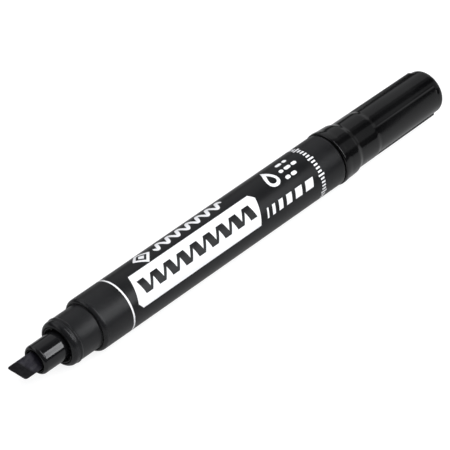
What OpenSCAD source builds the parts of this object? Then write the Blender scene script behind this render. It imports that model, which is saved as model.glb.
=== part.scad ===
// Chisel-nib marker lying on its side, with its cap pushed onto the rear post.
// The marker's axis runs along X, nib towards -X. Stations along the axis are
// counted from the barrel's front shoulder, rearwards positive. Rolls are angles
// round the axis from straight up, turning towards -Y.

/* [Barrel] */
// Outside diameter of the barrel
barrel_d = 13.5; // [13.3:0.1:13.8]
// Length of the barrel from its front shoulder to its rear edge
barrel_len = 81.25; // [76:0.25:90]
// Wall thickness of the barrel
barrel_wall = 1; // [0.9:0.05:1.1]
// Round on the front shoulder
shoulder_round = 0.9; // [0.5:0.1:0.9]
// Round on the rear edge
edge_round = 0.2; // [0.1:0.05:0.3]
// Ribs inside the barrel that centre the reservoir
rib_count = 6; // [4:1:8]
// Width of one rib
rib_w = 0.8; // [0.6:0.1:1]

/* [Neck] */
// Outside diameter of the neck that the cap closes on
neck_d = 11.38; // [11.3:0.02:11.4]
// Length of the neck ahead of the shoulder
neck_len = 8.7; // [8.2:0.1:9]
// Round on the neck's front rim
neck_round = 1.2; // [0.8:0.1:1.2]
// Bore of the neck that the nib holder seats in
neck_bore_d = 8.3; // [8.2:0.1:8.5]
// Height of the snap bead that the cap rides over
snap_h = 0.1; // [0.04:0.02:0.1]

/* [Nib holder] */
// Diameter of the snout
snout_d = 7.26; // [7.1:0.02:7.3]
// Reach of the snout ahead of the shoulder
snout_reach = 15.8; // [15:0.1:16.2]
// Round on the snout's front rim
snout_round = 0.9; // [0.5:0.1:1]
// Depth of the gap round the snout, behind the neck's rim
snout_gap_depth = 1.1; // [0.8:0.1:1.5]
// Hole in the snout's front
nib_hole_d = 5.4; // [5.2:0.1:5.4]
// Air grooves along the holder's seat
vent_count = 3; // [2:1:4]

/* [Nib] */
// Width of the chisel
nib_w = 4.6; // [4.4:0.1:4.7]
// Thickness of the chisel
nib_t = 2.3; // [2:0.1:2.4]
// Reach of the longest corner ahead of the shoulder
nib_reach = 22; // [21:0.1:22.4]
// Slant of the writing edge, in degrees
nib_slant = 27; // [15:1:30]
// Diameter that the nib's long edges are turned down to
nib_stock_d = 4.9; // [4.8:0.05:5]
// How far the bevelled face stops short of the writing edge
nib_bevel = 1.6; // [0.6:0.1:2]
// Roll of the chisel's wide face, in degrees
nib_roll = 38.7; // [0:0.1:90]
// Diameter of the spike that feeds the nib
spike_d = 3.2; // [2.6:0.1:3.6]
// Length of the spike inside the reservoir
spike_len = 9; // [6:0.5:12]

/* [Reservoir] */
// Diameter of the fibre core
core_d = 10.4; // [10:0.1:10.4]
// Thickness of the film round the core
film_t = 0.15; // [0.1:0.01:0.15]

/* [Rear plug] */
// Length of the plug inside the barrel
plug_seat_len = 10.25; // [8:0.25:12]
// Diameter of the plug's flange
flange_d = 12.4; // [12:0.1:12.6]
// Thickness of the flange between the barrel and the cap
flange_t = 0.35; // [0.3:0.01:0.35]
// Length of the post that carries the cap
post_len = 7.9; // [7:0.1:8.4]

/* [Cap] */
// Length of the cap
cap_len = 37.7; // [36:0.1:40]
// Diameter over the lip of the mouth
lip_d = 14; // [13.8:0.1:14.2]
// Diameter of the band behind the lip
band_d = 13.54; // [13.4:0.02:13.6]
// Diameter of the cap's body
body_d = 12.44; // [12.3:0.02:12.5]
// Diameter of the cap near its end
tail_d = 11.46; // [11.4:0.02:11.6]
// Round on the cap's end
tail_round = 1.6; // [1:0.1:2]
// Diameter of the mouth's bore
mouth_d = 11.7; // [11.7:0.02:11.9]
// Rails along the cap's body
rail_count = 4; // [3:1:6]
// Width of one rail
rail_w = 1.7; // [1.2:0.1:2]
// Roll of the first rail, in degrees
rail_roll = 47.0; // [0:0.1:90]

/* [Cap liner] */
// Bore of the liner that closes on the snout
liner_bore_d = 7.4; // [7.4:0.02:7.6]
// Outside diameter of the liner
liner_d = 9.9; // [9.7:0.1:9.9]

/* [Hidden] */
$fn = 96;

arc_steps = 8;
axis_z = lip_d / 2;

// Barrel and neck
barrel_r = barrel_d / 2;
bore_r = barrel_r - barrel_wall;
neck_r = neck_d / 2;
neck_bore_r = neck_bore_d / 2;
neck_rim_chamfer = 0.3;
inner_shoulder = 2.2;
snap_mid = -neck_len + 2.05;
snap_half = 0.6;
rib_start = inner_shoulder + 1.6;
rib_gap = 0.03;

// Nib holder
snout_r = snout_d / 2;
nib_hole_r = nib_hole_d / 2;
nib_hole_depth = 3.8;
nib_play = 0.05;
holder_front = -neck_len + snout_gap_depth;
holder_flange_r = bore_r - 0.15;
holder_flange_t = 1.2;
holder_hub_r = 3.6;
vent_w = 0.7;
vent_depth = 0.35;

// Reservoir
core_r = core_d / 2;
core_start = 5;
film_r = core_r + film_t;
plug_start = barrel_len - plug_seat_len;

// Nib
nib_back = core_start - 1.4;
nib_stock_r = nib_stock_d / 2;
nib_corner = min(nib_w / 2, sqrt(pow(nib_stock_r, 2) - pow(nib_t / 2, 2)));
spike_r = spike_d / 2;
spike_point = 2;

// Rear plug
plug_wall = 1;
post_end = barrel_len + flange_t + post_len;
post_round = 0.8;
flange_r = flange_d / 2;

// Cap
cap_gap = 0.05;
cap_start = barrel_len + flange_t + cap_gap;
cap_end = cap_start + cap_len;
lip_r = lip_d / 2;
lip_round = 0.45;
lip_top = 0.7;
flare_len = 2.1;
band_r = band_d / 2;
band_taper = 0.05;
band_len = 5.6;
step_len = 1.8;
body_r = body_d / 2;
body_taper = 0.03;
tail_r = tail_d / 2;
tail_taper = 0.03;
mouth_r = mouth_d / 2;
mouth_depth = 9.35;
mouth_chamfer = 0.3;
liner_r = liner_d / 2;
liner_len = 14.7;
liner_seat = mouth_depth + 15;
cap_core_r = liner_r - 0.35;
cap_wall_end = 1.2;
rail_start = 12.2;
rail_ramp = 2;
rail_len = 23.1;
rail_sink = 0.27;
rail_end_r = 6.05;
liner_floor = 1;
liner_chamfer = 0.4;
liner_bore_r = liner_bore_d / 2;

// Nib towards -X, stations along the axis, zero roll straight up
module on_axis() {
    translate([-(cap_end - nib_reach) / 2, 0, axis_z])
        rotate([0, 90, 0])
            rotate([0, 0, 180])
                children();
}

// Solid of revolution from an outline of [radius, station] points
module turned(outline) {
    rotate_extrude()
        polygon(outline);
}

// Points along an arc round [radius, station]
function arc(mid, r, from, to) = [
    for (i = [0 : arc_steps])
        let (t = from + (to - from) * i / arc_steps)
            mid + r * [cos(t), sin(t)]
];

// Smooth S from one [radius, station] point to another
function ease(p, q) = [
    for (i = [0 : arc_steps])
        let (t = i / arc_steps)
            [p[0] + (q[0] - p[0]) * (1 - cos(180 * t)) / 2, p[1] + (q[1] - p[1]) * t]
];

// Low rounded bead on a shaft, counted towards higher stations
function bead(r, mid, half, h) = [
    for (i = [-arc_steps / 2 : arc_steps / 2])
        let (t = 2 * i / arc_steps)
            [r + h * cos(90 * t), mid + half * t]
];

module barrel() {
    outline = concat(
        [[neck_bore_r + neck_rim_chamfer, -neck_len]],
        arc([neck_r - neck_round, neck_round - neck_len], neck_round, -90, 0),
        bead(neck_r, snap_mid, snap_half, snap_h),
        [[neck_r, 0]],
        arc([barrel_r - shoulder_round, shoulder_round], shoulder_round, -90, 0),
        arc([barrel_r - edge_round, barrel_len - edge_round], edge_round, 0, 90),
        [
            [bore_r, barrel_len],
            [bore_r, inner_shoulder],
            [neck_bore_r, inner_shoulder],
            [neck_bore_r, neck_rim_chamfer - neck_len]
        ]
    );
    rib_r = film_r + rib_gap;
    rib_len = plug_start - rib_start;
    color("#1c1c1e")
        on_axis() {
            turned(outline);
            intersection() {
                for (i = [0 : rib_count - 1])
                    rotate([0, 0, 360 * i / rib_count])
                        translate([rib_r, -rib_w / 2, rib_start])
                            cube([barrel_r - rib_r, rib_w, rib_len]);
                difference() {
                    cylinder(r = bore_r + barrel_wall / 2, h = plug_start);
                    cylinder(r = rib_r, h = plug_start);
                }
            }
        }
}

// Section of the nib's stock: a flat bar with its corners turned down
module nib_section(play) {
    intersection() {
        circle(r = nib_stock_r + play);
        square([nib_t + 2 * play, nib_w + 2 * play], center = true);
    }
}

module nib_holder() {
    outline = concat(
        [[0, -snout_reach]],
        arc([snout_r - snout_round, snout_round - snout_reach], snout_round, -90, 0),
        [
            [snout_r, holder_front],
            [neck_bore_r, holder_front],
            [neck_bore_r, inner_shoulder],
            [holder_flange_r, inner_shoulder],
            [holder_flange_r, inner_shoulder + holder_flange_t],
            [holder_hub_r, inner_shoulder + holder_flange_t],
            [holder_hub_r, core_start],
            [0, core_start]
        ]
    );
    vent_from = holder_front - 1;
    vent_to = core_start + 1;
    color("#0b0b0c")
        on_axis()
            difference() {
                turned(outline);
                translate([0, 0, -snout_reach - 1])
                    cylinder(r = nib_hole_r, h = nib_hole_depth + 1);
                rotate([0, 0, nib_roll])
                    translate([0, 0, -snout_reach])
                        linear_extrude(height = snout_reach + nib_back)
                            nib_section(nib_play);
                translate([0, 0, nib_back - 1])
                    cylinder(r = spike_r, h = core_start + 2 - nib_back);
                for (i = [0 : vent_count - 1])
                    rotate([0, 0, 360 * i / vent_count])
                        translate([neck_bore_r - vent_depth, -vent_w / 2, vent_from])
                            cube([barrel_r, vent_w, vent_to - vent_from]);
            }
}

module nib_spike() {
    turned([
        [0, nib_back],
        [spike_r, nib_back],
        [spike_r, core_start + spike_len - spike_point],
        [0, core_start + spike_len]
    ]);
}

module nib() {
    tip = -nib_reach - (nib_w / 2 - nib_corner) * tan(nib_slant);
    color("#17141c")
        on_axis() {
            rotate([0, 0, nib_roll])
                intersection() {
                    translate([0, 0, tip])
                        linear_extrude(height = nib_back - tip)
                            nib_section(0);
                    rotate([90, 0, 90])
                        translate([0, 0, -nib_t])
                            linear_extrude(height = 2 * nib_t)
                                polygon([
                                    [-nib_w / 2, tip],
                                    [nib_w / 2, tip + nib_w * tan(nib_slant)],
                                    [nib_w / 2, nib_back],
                                    [-nib_w / 2, nib_back]
                                ]);
                    rotate([nib_slant, 0, 0])
                        rotate([90, 0, 0])
                            translate([0, 0, -nib_reach])
                                linear_extrude(height = 2 * nib_reach)
                                    nib_bevel_side();
                }
            nib_spike();
        }
}

// Side view of the nib, square to its writing edge
module nib_bevel_side() {
    tip = -(nib_reach - nib_corner * tan(nib_slant)) * cos(nib_slant);
    back = tip + 2 * nib_reach;
    polygon([
        [-nib_t, tip - nib_bevel / 2],
        [nib_t, tip + 3 * nib_bevel / 2],
        [nib_t, back],
        [-nib_t, back]
    ]);
}

module ink_reservoir() {
    color("#2b2440")
        on_axis()
            difference() {
                translate([0, 0, core_start])
                    cylinder(r = core_r, h = plug_start - core_start);
                nib_spike();
            }
}

module reservoir_film() {
    color("#d9d9dc")
        on_axis()
            turned([
                [core_r, core_start],
                [film_r, core_start],
                [film_r, plug_start],
                [core_r, plug_start]
            ]);
}

module rear_plug() {
    post_base = barrel_len + flange_t;
    hollow_r = neck_r - plug_wall;
    outline = concat(
        [
            [hollow_r, plug_start],
            [bore_r, plug_start],
            [bore_r, barrel_len],
            [flange_r, barrel_len],
            [flange_r, post_base],
            [neck_r, post_base]
        ],
        bead(neck_r, post_end - post_round - snap_half - 0.4, snap_half, snap_h),
        arc([neck_r - post_round, post_end - post_round], post_round, 0, 90),
        [
            [0, post_end],
            [0, post_end - plug_wall],
            [hollow_r, post_end - plug_wall]
        ]
    );
    color("#111113")
        on_axis()
            turned(outline);
}

// Radius of the recessed panels between the rails
function panel_r(rear) =
    body_r - body_taper - rail_sink + rear * (tail_r - body_r + body_taper + rail_sink);

module cap_shell() {
    rail_rear = rail_start + rail_len;
    outline = concat(
        [[mouth_r + mouth_chamfer, 0]],
        arc([lip_r - lip_round, lip_round], lip_round, -90, 0),
        ease([lip_r, lip_top], [band_r + band_taper, lip_top + flare_len]),
        ease([band_r - band_taper, band_len], [body_r, band_len + step_len]),
        [
            [body_r - body_taper, rail_start],
            [panel_r(0), rail_start + rail_ramp],
            [tail_r, rail_rear]
        ],
        arc([tail_r - tail_taper - tail_round, cap_len - tail_round], tail_round, 0, 90),
        [
            [0, cap_len],
            [0, cap_len - cap_wall_end],
            [cap_core_r, cap_len - cap_wall_end],
            [cap_core_r, liner_seat],
            [liner_r, liner_seat],
            [liner_r, mouth_depth],
            [mouth_r, mouth_depth],
            [mouth_r, mouth_chamfer]
        ]
    );
    color("#101012")
        on_axis()
            translate([0, 0, cap_start]) {
                turned(outline);
                intersection() {
                    turned([
                        [liner_r + 0.3, rail_start - rail_ramp],
                        [body_r - body_taper, rail_start],
                        [rail_end_r, rail_rear],
                        [liner_r + 0.3, rail_rear]
                    ]);
                    for (i = [0 : rail_count - 1])
                        rotate([0, 0, rail_roll + 360 * i / rail_count])
                            translate([0, -rail_w / 2, 0])
                                cube([lip_r, rail_w, cap_len]);
                }
            }
}

module cap_liner() {
    rear = liner_seat;
    front = rear - liner_len;
    color("#3a3a3e")
        on_axis()
            translate([0, 0, cap_start])
                turned([
                    [liner_bore_r + liner_chamfer, front],
                    [liner_r, front],
                    [liner_r, rear],
                    [0, rear],
                    [0, rear - liner_floor],
                    [liner_bore_r, rear - liner_floor],
                    [liner_bore_r, front + liner_chamfer]
                ]);
}

barrel();
nib_holder();
nib();
ink_reservoir();
reservoir_film();
rear_plug();
cap_shell();
cap_liner();
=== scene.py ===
"""Chisel-nib marker lying on its side, its cap pushed onto the rear post.

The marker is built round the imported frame. Every turned piece is given by its
outline, in millimetres, as [station, radius] corners: stations run rearwards along
the marker's axis from the barrel's front shoulder. A roll is an angle round that
axis from straight up, turning towards -Y.
"""

import logging
import math
from collections.abc import Callable, Mapping, Sequence
from dataclasses import dataclass
from enum import Enum
from typing import ClassVar

import bmesh
import bpy
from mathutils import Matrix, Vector
from mathutils.geometry import delaunay_2d_cdt


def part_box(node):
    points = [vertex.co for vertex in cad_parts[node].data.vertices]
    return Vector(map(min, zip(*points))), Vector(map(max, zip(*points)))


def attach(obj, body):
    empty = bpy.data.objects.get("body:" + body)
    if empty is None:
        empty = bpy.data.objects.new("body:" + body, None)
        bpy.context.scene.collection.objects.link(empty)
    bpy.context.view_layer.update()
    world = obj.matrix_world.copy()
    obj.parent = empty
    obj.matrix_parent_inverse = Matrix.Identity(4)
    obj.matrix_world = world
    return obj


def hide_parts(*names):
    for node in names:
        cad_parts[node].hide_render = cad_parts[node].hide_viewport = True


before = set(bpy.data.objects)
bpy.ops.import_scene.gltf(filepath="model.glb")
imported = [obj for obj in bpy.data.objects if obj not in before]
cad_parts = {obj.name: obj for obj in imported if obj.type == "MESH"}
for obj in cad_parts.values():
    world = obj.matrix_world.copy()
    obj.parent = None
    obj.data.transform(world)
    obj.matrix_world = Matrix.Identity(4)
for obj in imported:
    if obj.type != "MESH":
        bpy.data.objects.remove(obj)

LOG = logging.getLogger("marker")
MM = 0.001
NEARLY_NONE = 1e-6
# The middle of the printing and the nib's wide face lie at this roll.
FACE_ROLL = math.radians(38.7)
# A light's power is this, times its area in square metres, times its face's radiance.
LIGHT_POWER = 4
SQUARE = ((-1, -1), (1, -1), (1, 1), (-1, 1))
LOZENGE = ((-1, 0), (0, -1), (1, 0), (0, 1))

Point2 = tuple[float, float]
Loop = list[Point2]
Colour = tuple[float, float, float]
Socket = bpy.types.NodeSocket
Value = float | Socket
Given = Value | Sequence[float]
Shape = Callable[[float, float, float], float]


class Body(Enum):
    """The two bodies that the pieces ride on."""

    BARREL = "barrel"
    CAP = "cap"


# ---------------------------------------------------------------- geometry


@dataclass(frozen=True)
class Axis:
    """The marker's long axis in the row frame.

    Args:
        shoulder_x: where station 0 lies along X, in metres.
        height: height of the axis above the floor, in metres.
    """

    shoulder_x: float
    height: float

    def place(self, station: float, radius: float, roll: float) -> Vector:
        """Give a point of the row frame, in metres.

        Args:
            station: distance behind the front shoulder, in millimetres.
            radius: distance from the axis, in millimetres.
            roll: angle from straight up towards -Y, in radians.

        Returns:
            The point.
        """
        return Vector(
            (
                self.shoulder_x + station * MM,
                -radius * MM * math.sin(roll),
                self.height + radius * MM * math.cos(roll),
            )
        )

    def across(self, station: float, width: float, depth: float, roll: float) -> Vector:
        """Give a point by its offsets square to the axis.

        Args:
            station: distance behind the front shoulder, in millimetres.
            width: offset along the direction of rising roll, in millimetres.
            depth: offset along the roll's own direction, in millimetres.
            roll: the direction of depth, in radians.

        Returns:
            The point, in metres.
        """
        return self.place(station, math.hypot(width, depth), roll + math.atan2(width, depth))


@dataclass(frozen=True)
class Corner:
    """One corner of an outline, with the radius of its rounding, in millimetres.

    A corner without a rounding can carry its own rub.
    """

    station: float
    radius: float
    rounding: float = 0.0
    rub: float = 0.0


@dataclass(frozen=True)
class OutlinePoint:
    """One point of a finished outline. Rub is 1 on a rounded edge that hands touch."""

    station: float
    radius: float
    rub: float = 0.0


@dataclass(frozen=True)
class Outline:
    """A turned piece's closed outline.

    Args:
        corners: the corners in order.
        step: largest angle between two points of a rounding, in degrees.
        support: length of the short strip kept next to each rounding, in millimetres.
    """

    corners: Sequence[Corner]
    step: float = 9.0
    support: float = 0.22
    STRAIGHT: ClassVar[float] = math.radians(179)
    FEWEST_STEPS: ClassVar[int] = 2
    CLEAR_STRIPS: ClassVar[float] = 3.0

    def points(self) -> list[OutlinePoint]:
        """Give the outline's points, with every rounding turned into an arc.

        Returns:
            The points, in the corners' order.
        """
        afters = [*self.corners[1:], self.corners[0]]
        return [
            point
            for index, corner in enumerate(self.corners)
            for point in self._rounded(self.corners[index - 1], corner, afters[index])
        ]

    def _rounded(self, before: Corner, corner: Corner, after: Corner) -> list[OutlinePoint]:
        """Round one corner.

        Args:
            before: the corner ahead of it.
            corner: the corner to round.
            after: the corner behind it.

        Returns:
            The points that replace the corner.
        """
        here = Vector((corner.station, corner.radius))
        to_before = Vector((before.station, before.radius)) - here
        to_after = Vector((after.station, after.radius)) - here
        if corner.rounding <= 0 or not to_before.length or not to_after.length:
            return [OutlinePoint(corner.station, corner.radius, corner.rub)]
        back, ahead = to_before.normalized(), to_after.normalized()
        opening = math.acos(max(-1.0, min(1.0, back.dot(ahead))))
        if opening > self.STRAIGHT:
            return [OutlinePoint(corner.station, corner.radius)]
        run = corner.rounding / math.tan(opening / 2)
        middle = here + (back + ahead).normalized() * corner.rounding / math.sin(opening / 2)
        start, end = here + back * run - middle, here + ahead * run - middle
        first = math.atan2(start.y, start.x)
        sweep = math.remainder(math.atan2(end.y, end.x) - first, math.tau)
        steps = max(self.FEWEST_STEPS, math.ceil(abs(math.degrees(sweep)) / self.step))
        arc = []
        for i in range(steps + 1):
            angle = first + sweep * i / steps
            station = middle.x + corner.rounding * math.cos(angle)
            arc.append(OutlinePoint(station, middle.y + corner.rounding * math.sin(angle), 1.0))
        lead = here + back * (run + self.support)
        tail = here + ahead * (run + self.support)
        clear = run + self.CLEAR_STRIPS * self.support
        if to_before.length > clear:
            arc.insert(0, OutlinePoint(lead.x, lead.y))
        if to_after.length > clear:
            arc.append(OutlinePoint(tail.x, tail.y))
        return arc


def bead(radius: float, middle: float, half: float, height: float) -> list[Corner]:
    """Give a low rounded bead on a shaft, towards higher stations.

    Args:
        radius: radius of the shaft.
        middle: station of the bead's crest.
        half: half of its length along the axis.
        height: how far it stands out; a groove is negative.

    Returns:
        The corners of the bead.
    """
    steps, rubbed_steps = 5, 3
    return [
        Corner(
            middle + half * i / steps,
            radius + height * (1 + math.cos(math.pi * i / steps)) / 2,
            rub=max(0.0, 1 - abs(i) / rubbed_steps),
        )
        for i in range(-steps, steps + 1)
    ]


def ease(start: Corner, end: Corner, steps: int = 8) -> list[Corner]:
    """Give a smooth S between two corners.

    Args:
        start: where the S starts.
        end: where it ends.
        steps: how many strips it has.

    Returns:
        The corners along the S, both ends included.
    """
    return [
        Corner(
            start.station + (end.station - start.station) * i / steps,
            start.radius + (end.radius - start.radius) * (1 - math.cos(math.pi * i / steps)) / 2,
        )
        for i in range(steps + 1)
    ]


def smooth_step(low: float, high: float, value: float) -> float:
    """Rise smoothly from 0 at low to 1 at high."""
    share = max(0.0, min(1.0, (value - low) / (high - low)))
    return share * share * (3 - 2 * share)


def even_rolls(count: int) -> list[float]:
    """Give count rolls, evenly spaced round the axis, in radians."""
    return [math.tau * i / count for i in range(count)]


class Mesh:
    """A mesh under construction, with a rub value on each vertex."""

    SHARP: ClassVar[float] = math.radians(32)
    SAME_PLACE: ClassVar[float] = 1e-9

    def __init__(self, name: str) -> None:
        """Start an empty mesh.

        Args:
            name: name of the piece.
        """
        self.name = name
        self.work = bmesh.new()
        self.rub = self.work.verts.layers.float.new("rub")

    def vertex(self, place: Vector, rub: float = 0.0) -> bmesh.types.BMVert:
        """Add one vertex.

        Args:
            place: where it is, in metres.
            rub: 1 where hands touch the piece, 0 elsewhere; on the nib it is 1 on the writing end,
                which the fibre's material paints darker as painted shade.

        Returns:
            The vertex.
        """
        made = self.work.verts.new(place)
        made[self.rub] = rub
        return made

    def ring(self, places: Sequence[Vector], rub: float = 0.0) -> list[bmesh.types.BMVert]:
        """Add a ring of vertices, or a single one where all places are the same.

        Args:
            places: where the vertices are, in order round the ring.
            rub: their rub.

        Returns:
            The vertices.
        """
        if (places[0] - places[len(places) // 2]).length < self.SAME_PLACE:
            return [self.vertex(places[0], rub)]
        return [self.vertex(place, rub) for place in places]

    def skin(self, rings: Sequence[Sequence[bmesh.types.BMVert]], closed: bool) -> None:
        """Join rings, one after another.

        Args:
            rings: the rings; a ring of one vertex is a pole.
            closed: whether the last ring joins the first.
        """
        pairs = list(zip(rings, rings[1:]))
        if closed:
            pairs.append((rings[-1], rings[0]))
        for near, far in pairs:
            count = max(len(near), len(far))
            if count == 1:
                continue
            for i in range(count):
                after = (i + 1) % count
                if len(near) == 1:
                    self.work.faces.new((near[0], far[after], far[i]))
                elif len(far) == 1:
                    self.work.faces.new((near[i], near[after], far[0]))
                else:
                    self.work.faces.new((near[i], near[after], far[after], far[i]))

    def finish(self, material: bpy.types.Material) -> bpy.types.Object:
        """Turn the mesh into an object of the scene.

        Args:
            material: what it is made of.

        Returns:
            The object.
        """
        bmesh.ops.recalc_face_normals(self.work, faces=self.work.faces)
        data = bpy.data.meshes.new(self.name)
        self.work.to_mesh(data)
        self.work.free()
        data.shade_smooth()
        data.set_sharp_from_angle(angle=self.SHARP)
        data.materials.append(material)
        made = bpy.data.objects.new(self.name, data)
        bpy.context.scene.collection.objects.link(made)
        return made


@dataclass(frozen=True)
class Turned:
    """A piece turned on the marker's axis.

    Args:
        name: name of the piece.
        outline: its outline.
        rolls: where its vertices lie round the axis.
        shape: gives the true radius from station, radius and roll, where the piece isn't round.
        start: station of the outline's own zero.
    """

    name: str
    outline: Outline
    rolls: Sequence[float]
    shape: Shape | None = None
    start: float = 0.0

    def build(self, axis: Axis, material: bpy.types.Material) -> bpy.types.Object:
        """Build the piece.

        Args:
            axis: the marker's axis.
            material: what the piece is made of.

        Returns:
            The object.
        """
        mesh = Mesh(self.name)
        points = self.outline.points()
        rings = []
        for point in points:
            places = []
            for roll in self.rolls:
                radius = point.radius
                if self.shape and radius > 0:
                    radius = self.shape(point.station, radius, roll)
                places.append(axis.place(self.start + point.station, radius, roll))
            rings.append(mesh.ring(places, point.rub))
        mesh.skin(rings, closed=min(point.radius for point in points) > 0)
        return mesh.finish(material)


def install(piece: bpy.types.Object, body: Body, slot: str | None, *nodes: str) -> None:
    """Fasten a piece to its body and hide the frame's nodes that it replaces.

    Args:
        piece: the piece.
        body: the body that it rides on.
        slot: not used.
        nodes: the frame's nodes that it replaces.
    """
    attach(piece, body.value)
    if nodes:
        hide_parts(*nodes)
    LOG.info("%s: %d faces on %s", piece.name, len(piece.data.polygons), body.value)


@dataclass(frozen=True)
class TurnedPart:
    """A sub-assembly that is one turned piece. Its sizes are in millimetres."""

    PIECE: ClassVar[str]
    SLOT: ClassVar[str]
    NODE: ClassVar[str]
    BODY: ClassVar[Body] = Body.BARREL
    COLUMNS: ClassVar[int] = 192
    START: ClassVar[float] = 0.0

    def outline(self) -> Outline:
        """Give the outline; each piece has its own."""
        raise NotImplementedError

    def rolls(self) -> list[float]:
        """Give the rolls of the vertices."""
        return even_rolls(self.COLUMNS)

    def shape(self, station: float, radius: float, roll: float) -> float:
        """Give the true radius at a place; a plain piece is round."""
        return radius

    def build(self, axis: Axis, material: bpy.types.Material) -> None:
        """Build and install the piece.

        Args:
            axis: the marker's axis.
            material: what the piece is made of.
        """
        piece = Turned(self.PIECE, self.outline(), self.rolls(), self.shape, self.START)
        install(piece.build(axis, material), self.BODY, self.SLOT, self.NODE)


# ---------------------------------------------------------------- materials


class Graph:
    """Short calls for building a node tree."""

    def __init__(self, tree: bpy.types.NodeTree) -> None:
        """Start from an empty tree."""
        self.tree = tree
        tree.nodes.clear()

    def add(self, kind: str, **settings: object) -> bpy.types.Node:
        """Add a node.

        Args:
            kind: its type.
            settings: what its own properties are set to.

        Returns:
            The node.
        """
        node = self.tree.nodes.new(kind)
        for name, value in settings.items():
            setattr(node, name, value)
        return node

    def feed(self, socket: Socket, value: Given) -> None:
        """Link an input to a socket, or give it a plain value.

        Args:
            socket: the input.
            value: the socket or the value.
        """
        if isinstance(value, bpy.types.NodeSocket):
            self.tree.links.new(value, socket)
        else:
            socket.default_value = value

    def fill(self, node: bpy.types.Node, values: Mapping[str, Given]) -> None:
        """Feed several inputs of a node, each by its name."""
        for name, value in values.items():
            self.feed(node.inputs[name], value)

    def math(self, operation: str, first: Value, second: Value = 0.0) -> Socket:
        """Add a math node.

        Args:
            operation: what it does.
            first: its first value.
            second: its second value.

        Returns:
            The result.
        """
        node = self.add("ShaderNodeMath", operation=operation)
        self.feed(node.inputs[0], first)
        self.feed(node.inputs[1], second)
        return node.outputs[0]

    def times(self, first: Value, second: Value) -> Socket:
        """Multiply two values."""
        return self.math("MULTIPLY", first, second)

    def plus(self, first: Value, second: Value) -> Socket:
        """Add two values."""
        return self.math("ADD", first, second)

    def between(
        self, value: Value, low: Value, high: Value, start: Value = 0.0, end: Value = 1.0
    ) -> Socket:
        """Map a value to another range, smoothly and without passing either end.

        Args:
            value: the value.
            low: where its own range starts.
            high: where that ends.
            start: what low becomes.
            end: what high becomes.

        Returns:
            The mapped value.
        """
        node = self.add("ShaderNodeMapRange", interpolation_type="SMOOTHSTEP")
        ranges = {"Value": value, "From Min": low, "From Max": high, "To Min": start, "To Max": end}
        self.fill(node, ranges)
        return node.outputs["Result"]

    def stretched(self, vector: Socket, scale: Colour, turn: Colour = (0.0, 0.0, 0.0)) -> Socket:
        """Turn a vector, then scale it by a different amount along each axis.

        Args:
            vector: the vector.
            scale: how much along X, Y and Z.
            turn: the turn round X, Y and Z, in radians.

        Returns:
            The new vector.
        """
        turned = self.add("ShaderNodeMapping")
        self.fill(turned, {"Vector": vector, "Rotation": turn})
        scaled = self.add("ShaderNodeVectorMath", operation="MULTIPLY")
        self.feed(scaled.inputs[0], turned.outputs["Vector"])
        self.feed(scaled.inputs[1], scale)
        return scaled.outputs["Vector"]

    def noise(self, vector: Socket, scale: Value, detail: float, lacing: float = 0.5) -> Socket:
        """Add a noise.

        Args:
            vector: where it is looked up.
            scale: how many lumps it has in a metre.
            detail: how many finer noises are laid over it.
            lacing: how strong those are.

        Returns:
            Its value, about 0.5 in the middle.
        """
        node = self.add("ShaderNodeTexNoise")
        self.fill(node, {"Vector": vector, "Scale": scale, "Detail": detail, "Roughness": lacing})
        return node.outputs["Fac"]

    def cells(self, vector: Socket, scale: Value) -> Socket:
        """Add a pattern of cells.

        Args:
            vector: where it is looked up.
            scale: how many cells it has in a metre.

        Returns:
            The distance from the middle of each cell.
        """
        node = self.add("ShaderNodeTexVoronoi", feature="SMOOTH_F1")
        self.fill(node, {"Vector": vector, "Scale": scale})
        return node.outputs["Distance"]

    def blend(self, factor: Value, first: Socket | Colour, second: Socket | Colour) -> Socket:
        """Mix two colours.

        Args:
            factor: how much of the second, 0 to 1.
            first: the first colour.
            second: the second colour.

        Returns:
            The mixed colour.
        """
        node = self.add("ShaderNodeMix", data_type="RGBA")
        self.feed(node.inputs["Factor"], factor)
        for name, given in (("A", first), ("B", second)):
            socket = next(s for s in node.inputs if s.name == name and s.type == "RGBA")
            self.feed(socket, given if isinstance(given, bpy.types.NodeSocket) else (*given, 1.0))
        return next(s for s in node.outputs if s.type == "RGBA")

    def bump(self, height: Socket, relief: float) -> Socket:
        """Add a bump.

        Args:
            height: its height, 0 to 1.
            relief: how deep it is, in millimetres.

        Returns:
            The bumped normal.
        """
        node = self.add("ShaderNodeBump")
        self.fill(node, {"Strength": 1.0, "Distance": relief * MM, "Height": height})
        return node.outputs["Normal"]


class Effect:
    """A surface effect: one node group, made once, placed in each material with its values."""

    name: ClassVar[str]
    takes: ClassVar[dict[str, str]]
    gives: ClassVar[tuple[str, ...]]

    def group(self) -> bpy.types.NodeTree:
        """Find the group, building it the first time.

        Returns:
            The group.
        """
        made = bpy.data.node_groups.get(self.name)
        if made:
            return made
        made = bpy.data.node_groups.new(self.name, "ShaderNodeTree")
        for title, kind in self.takes.items():
            made.interface.new_socket(name=title, in_out="INPUT", socket_type=kind)
        for title in self.gives:
            made.interface.new_socket(name=title, in_out="OUTPUT", socket_type="NodeSocketFloat")
        graph = Graph(made)
        given = graph.add("NodeGroupInput")
        result = graph.add("NodeGroupOutput")
        graph.fill(result, self.wire(graph, given.outputs))
        return made

    def wire(self, graph: Graph, given: bpy.types.NodeOutputs) -> dict[str, Socket]:
        """Build the nodes of the group; each effect has its own."""
        raise NotImplementedError

    def place(self, graph: Graph, **values: Value) -> bpy.types.NodeOutputs:
        """Place the group in a material.

        Args:
            graph: the material's node tree.
            values: what each input is set or linked to.

        Returns:
            What the group gives.
        """
        node = graph.add("ShaderNodeGroup", node_tree=self.group())
        graph.fill(node, values)
        return node.outputs


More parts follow.
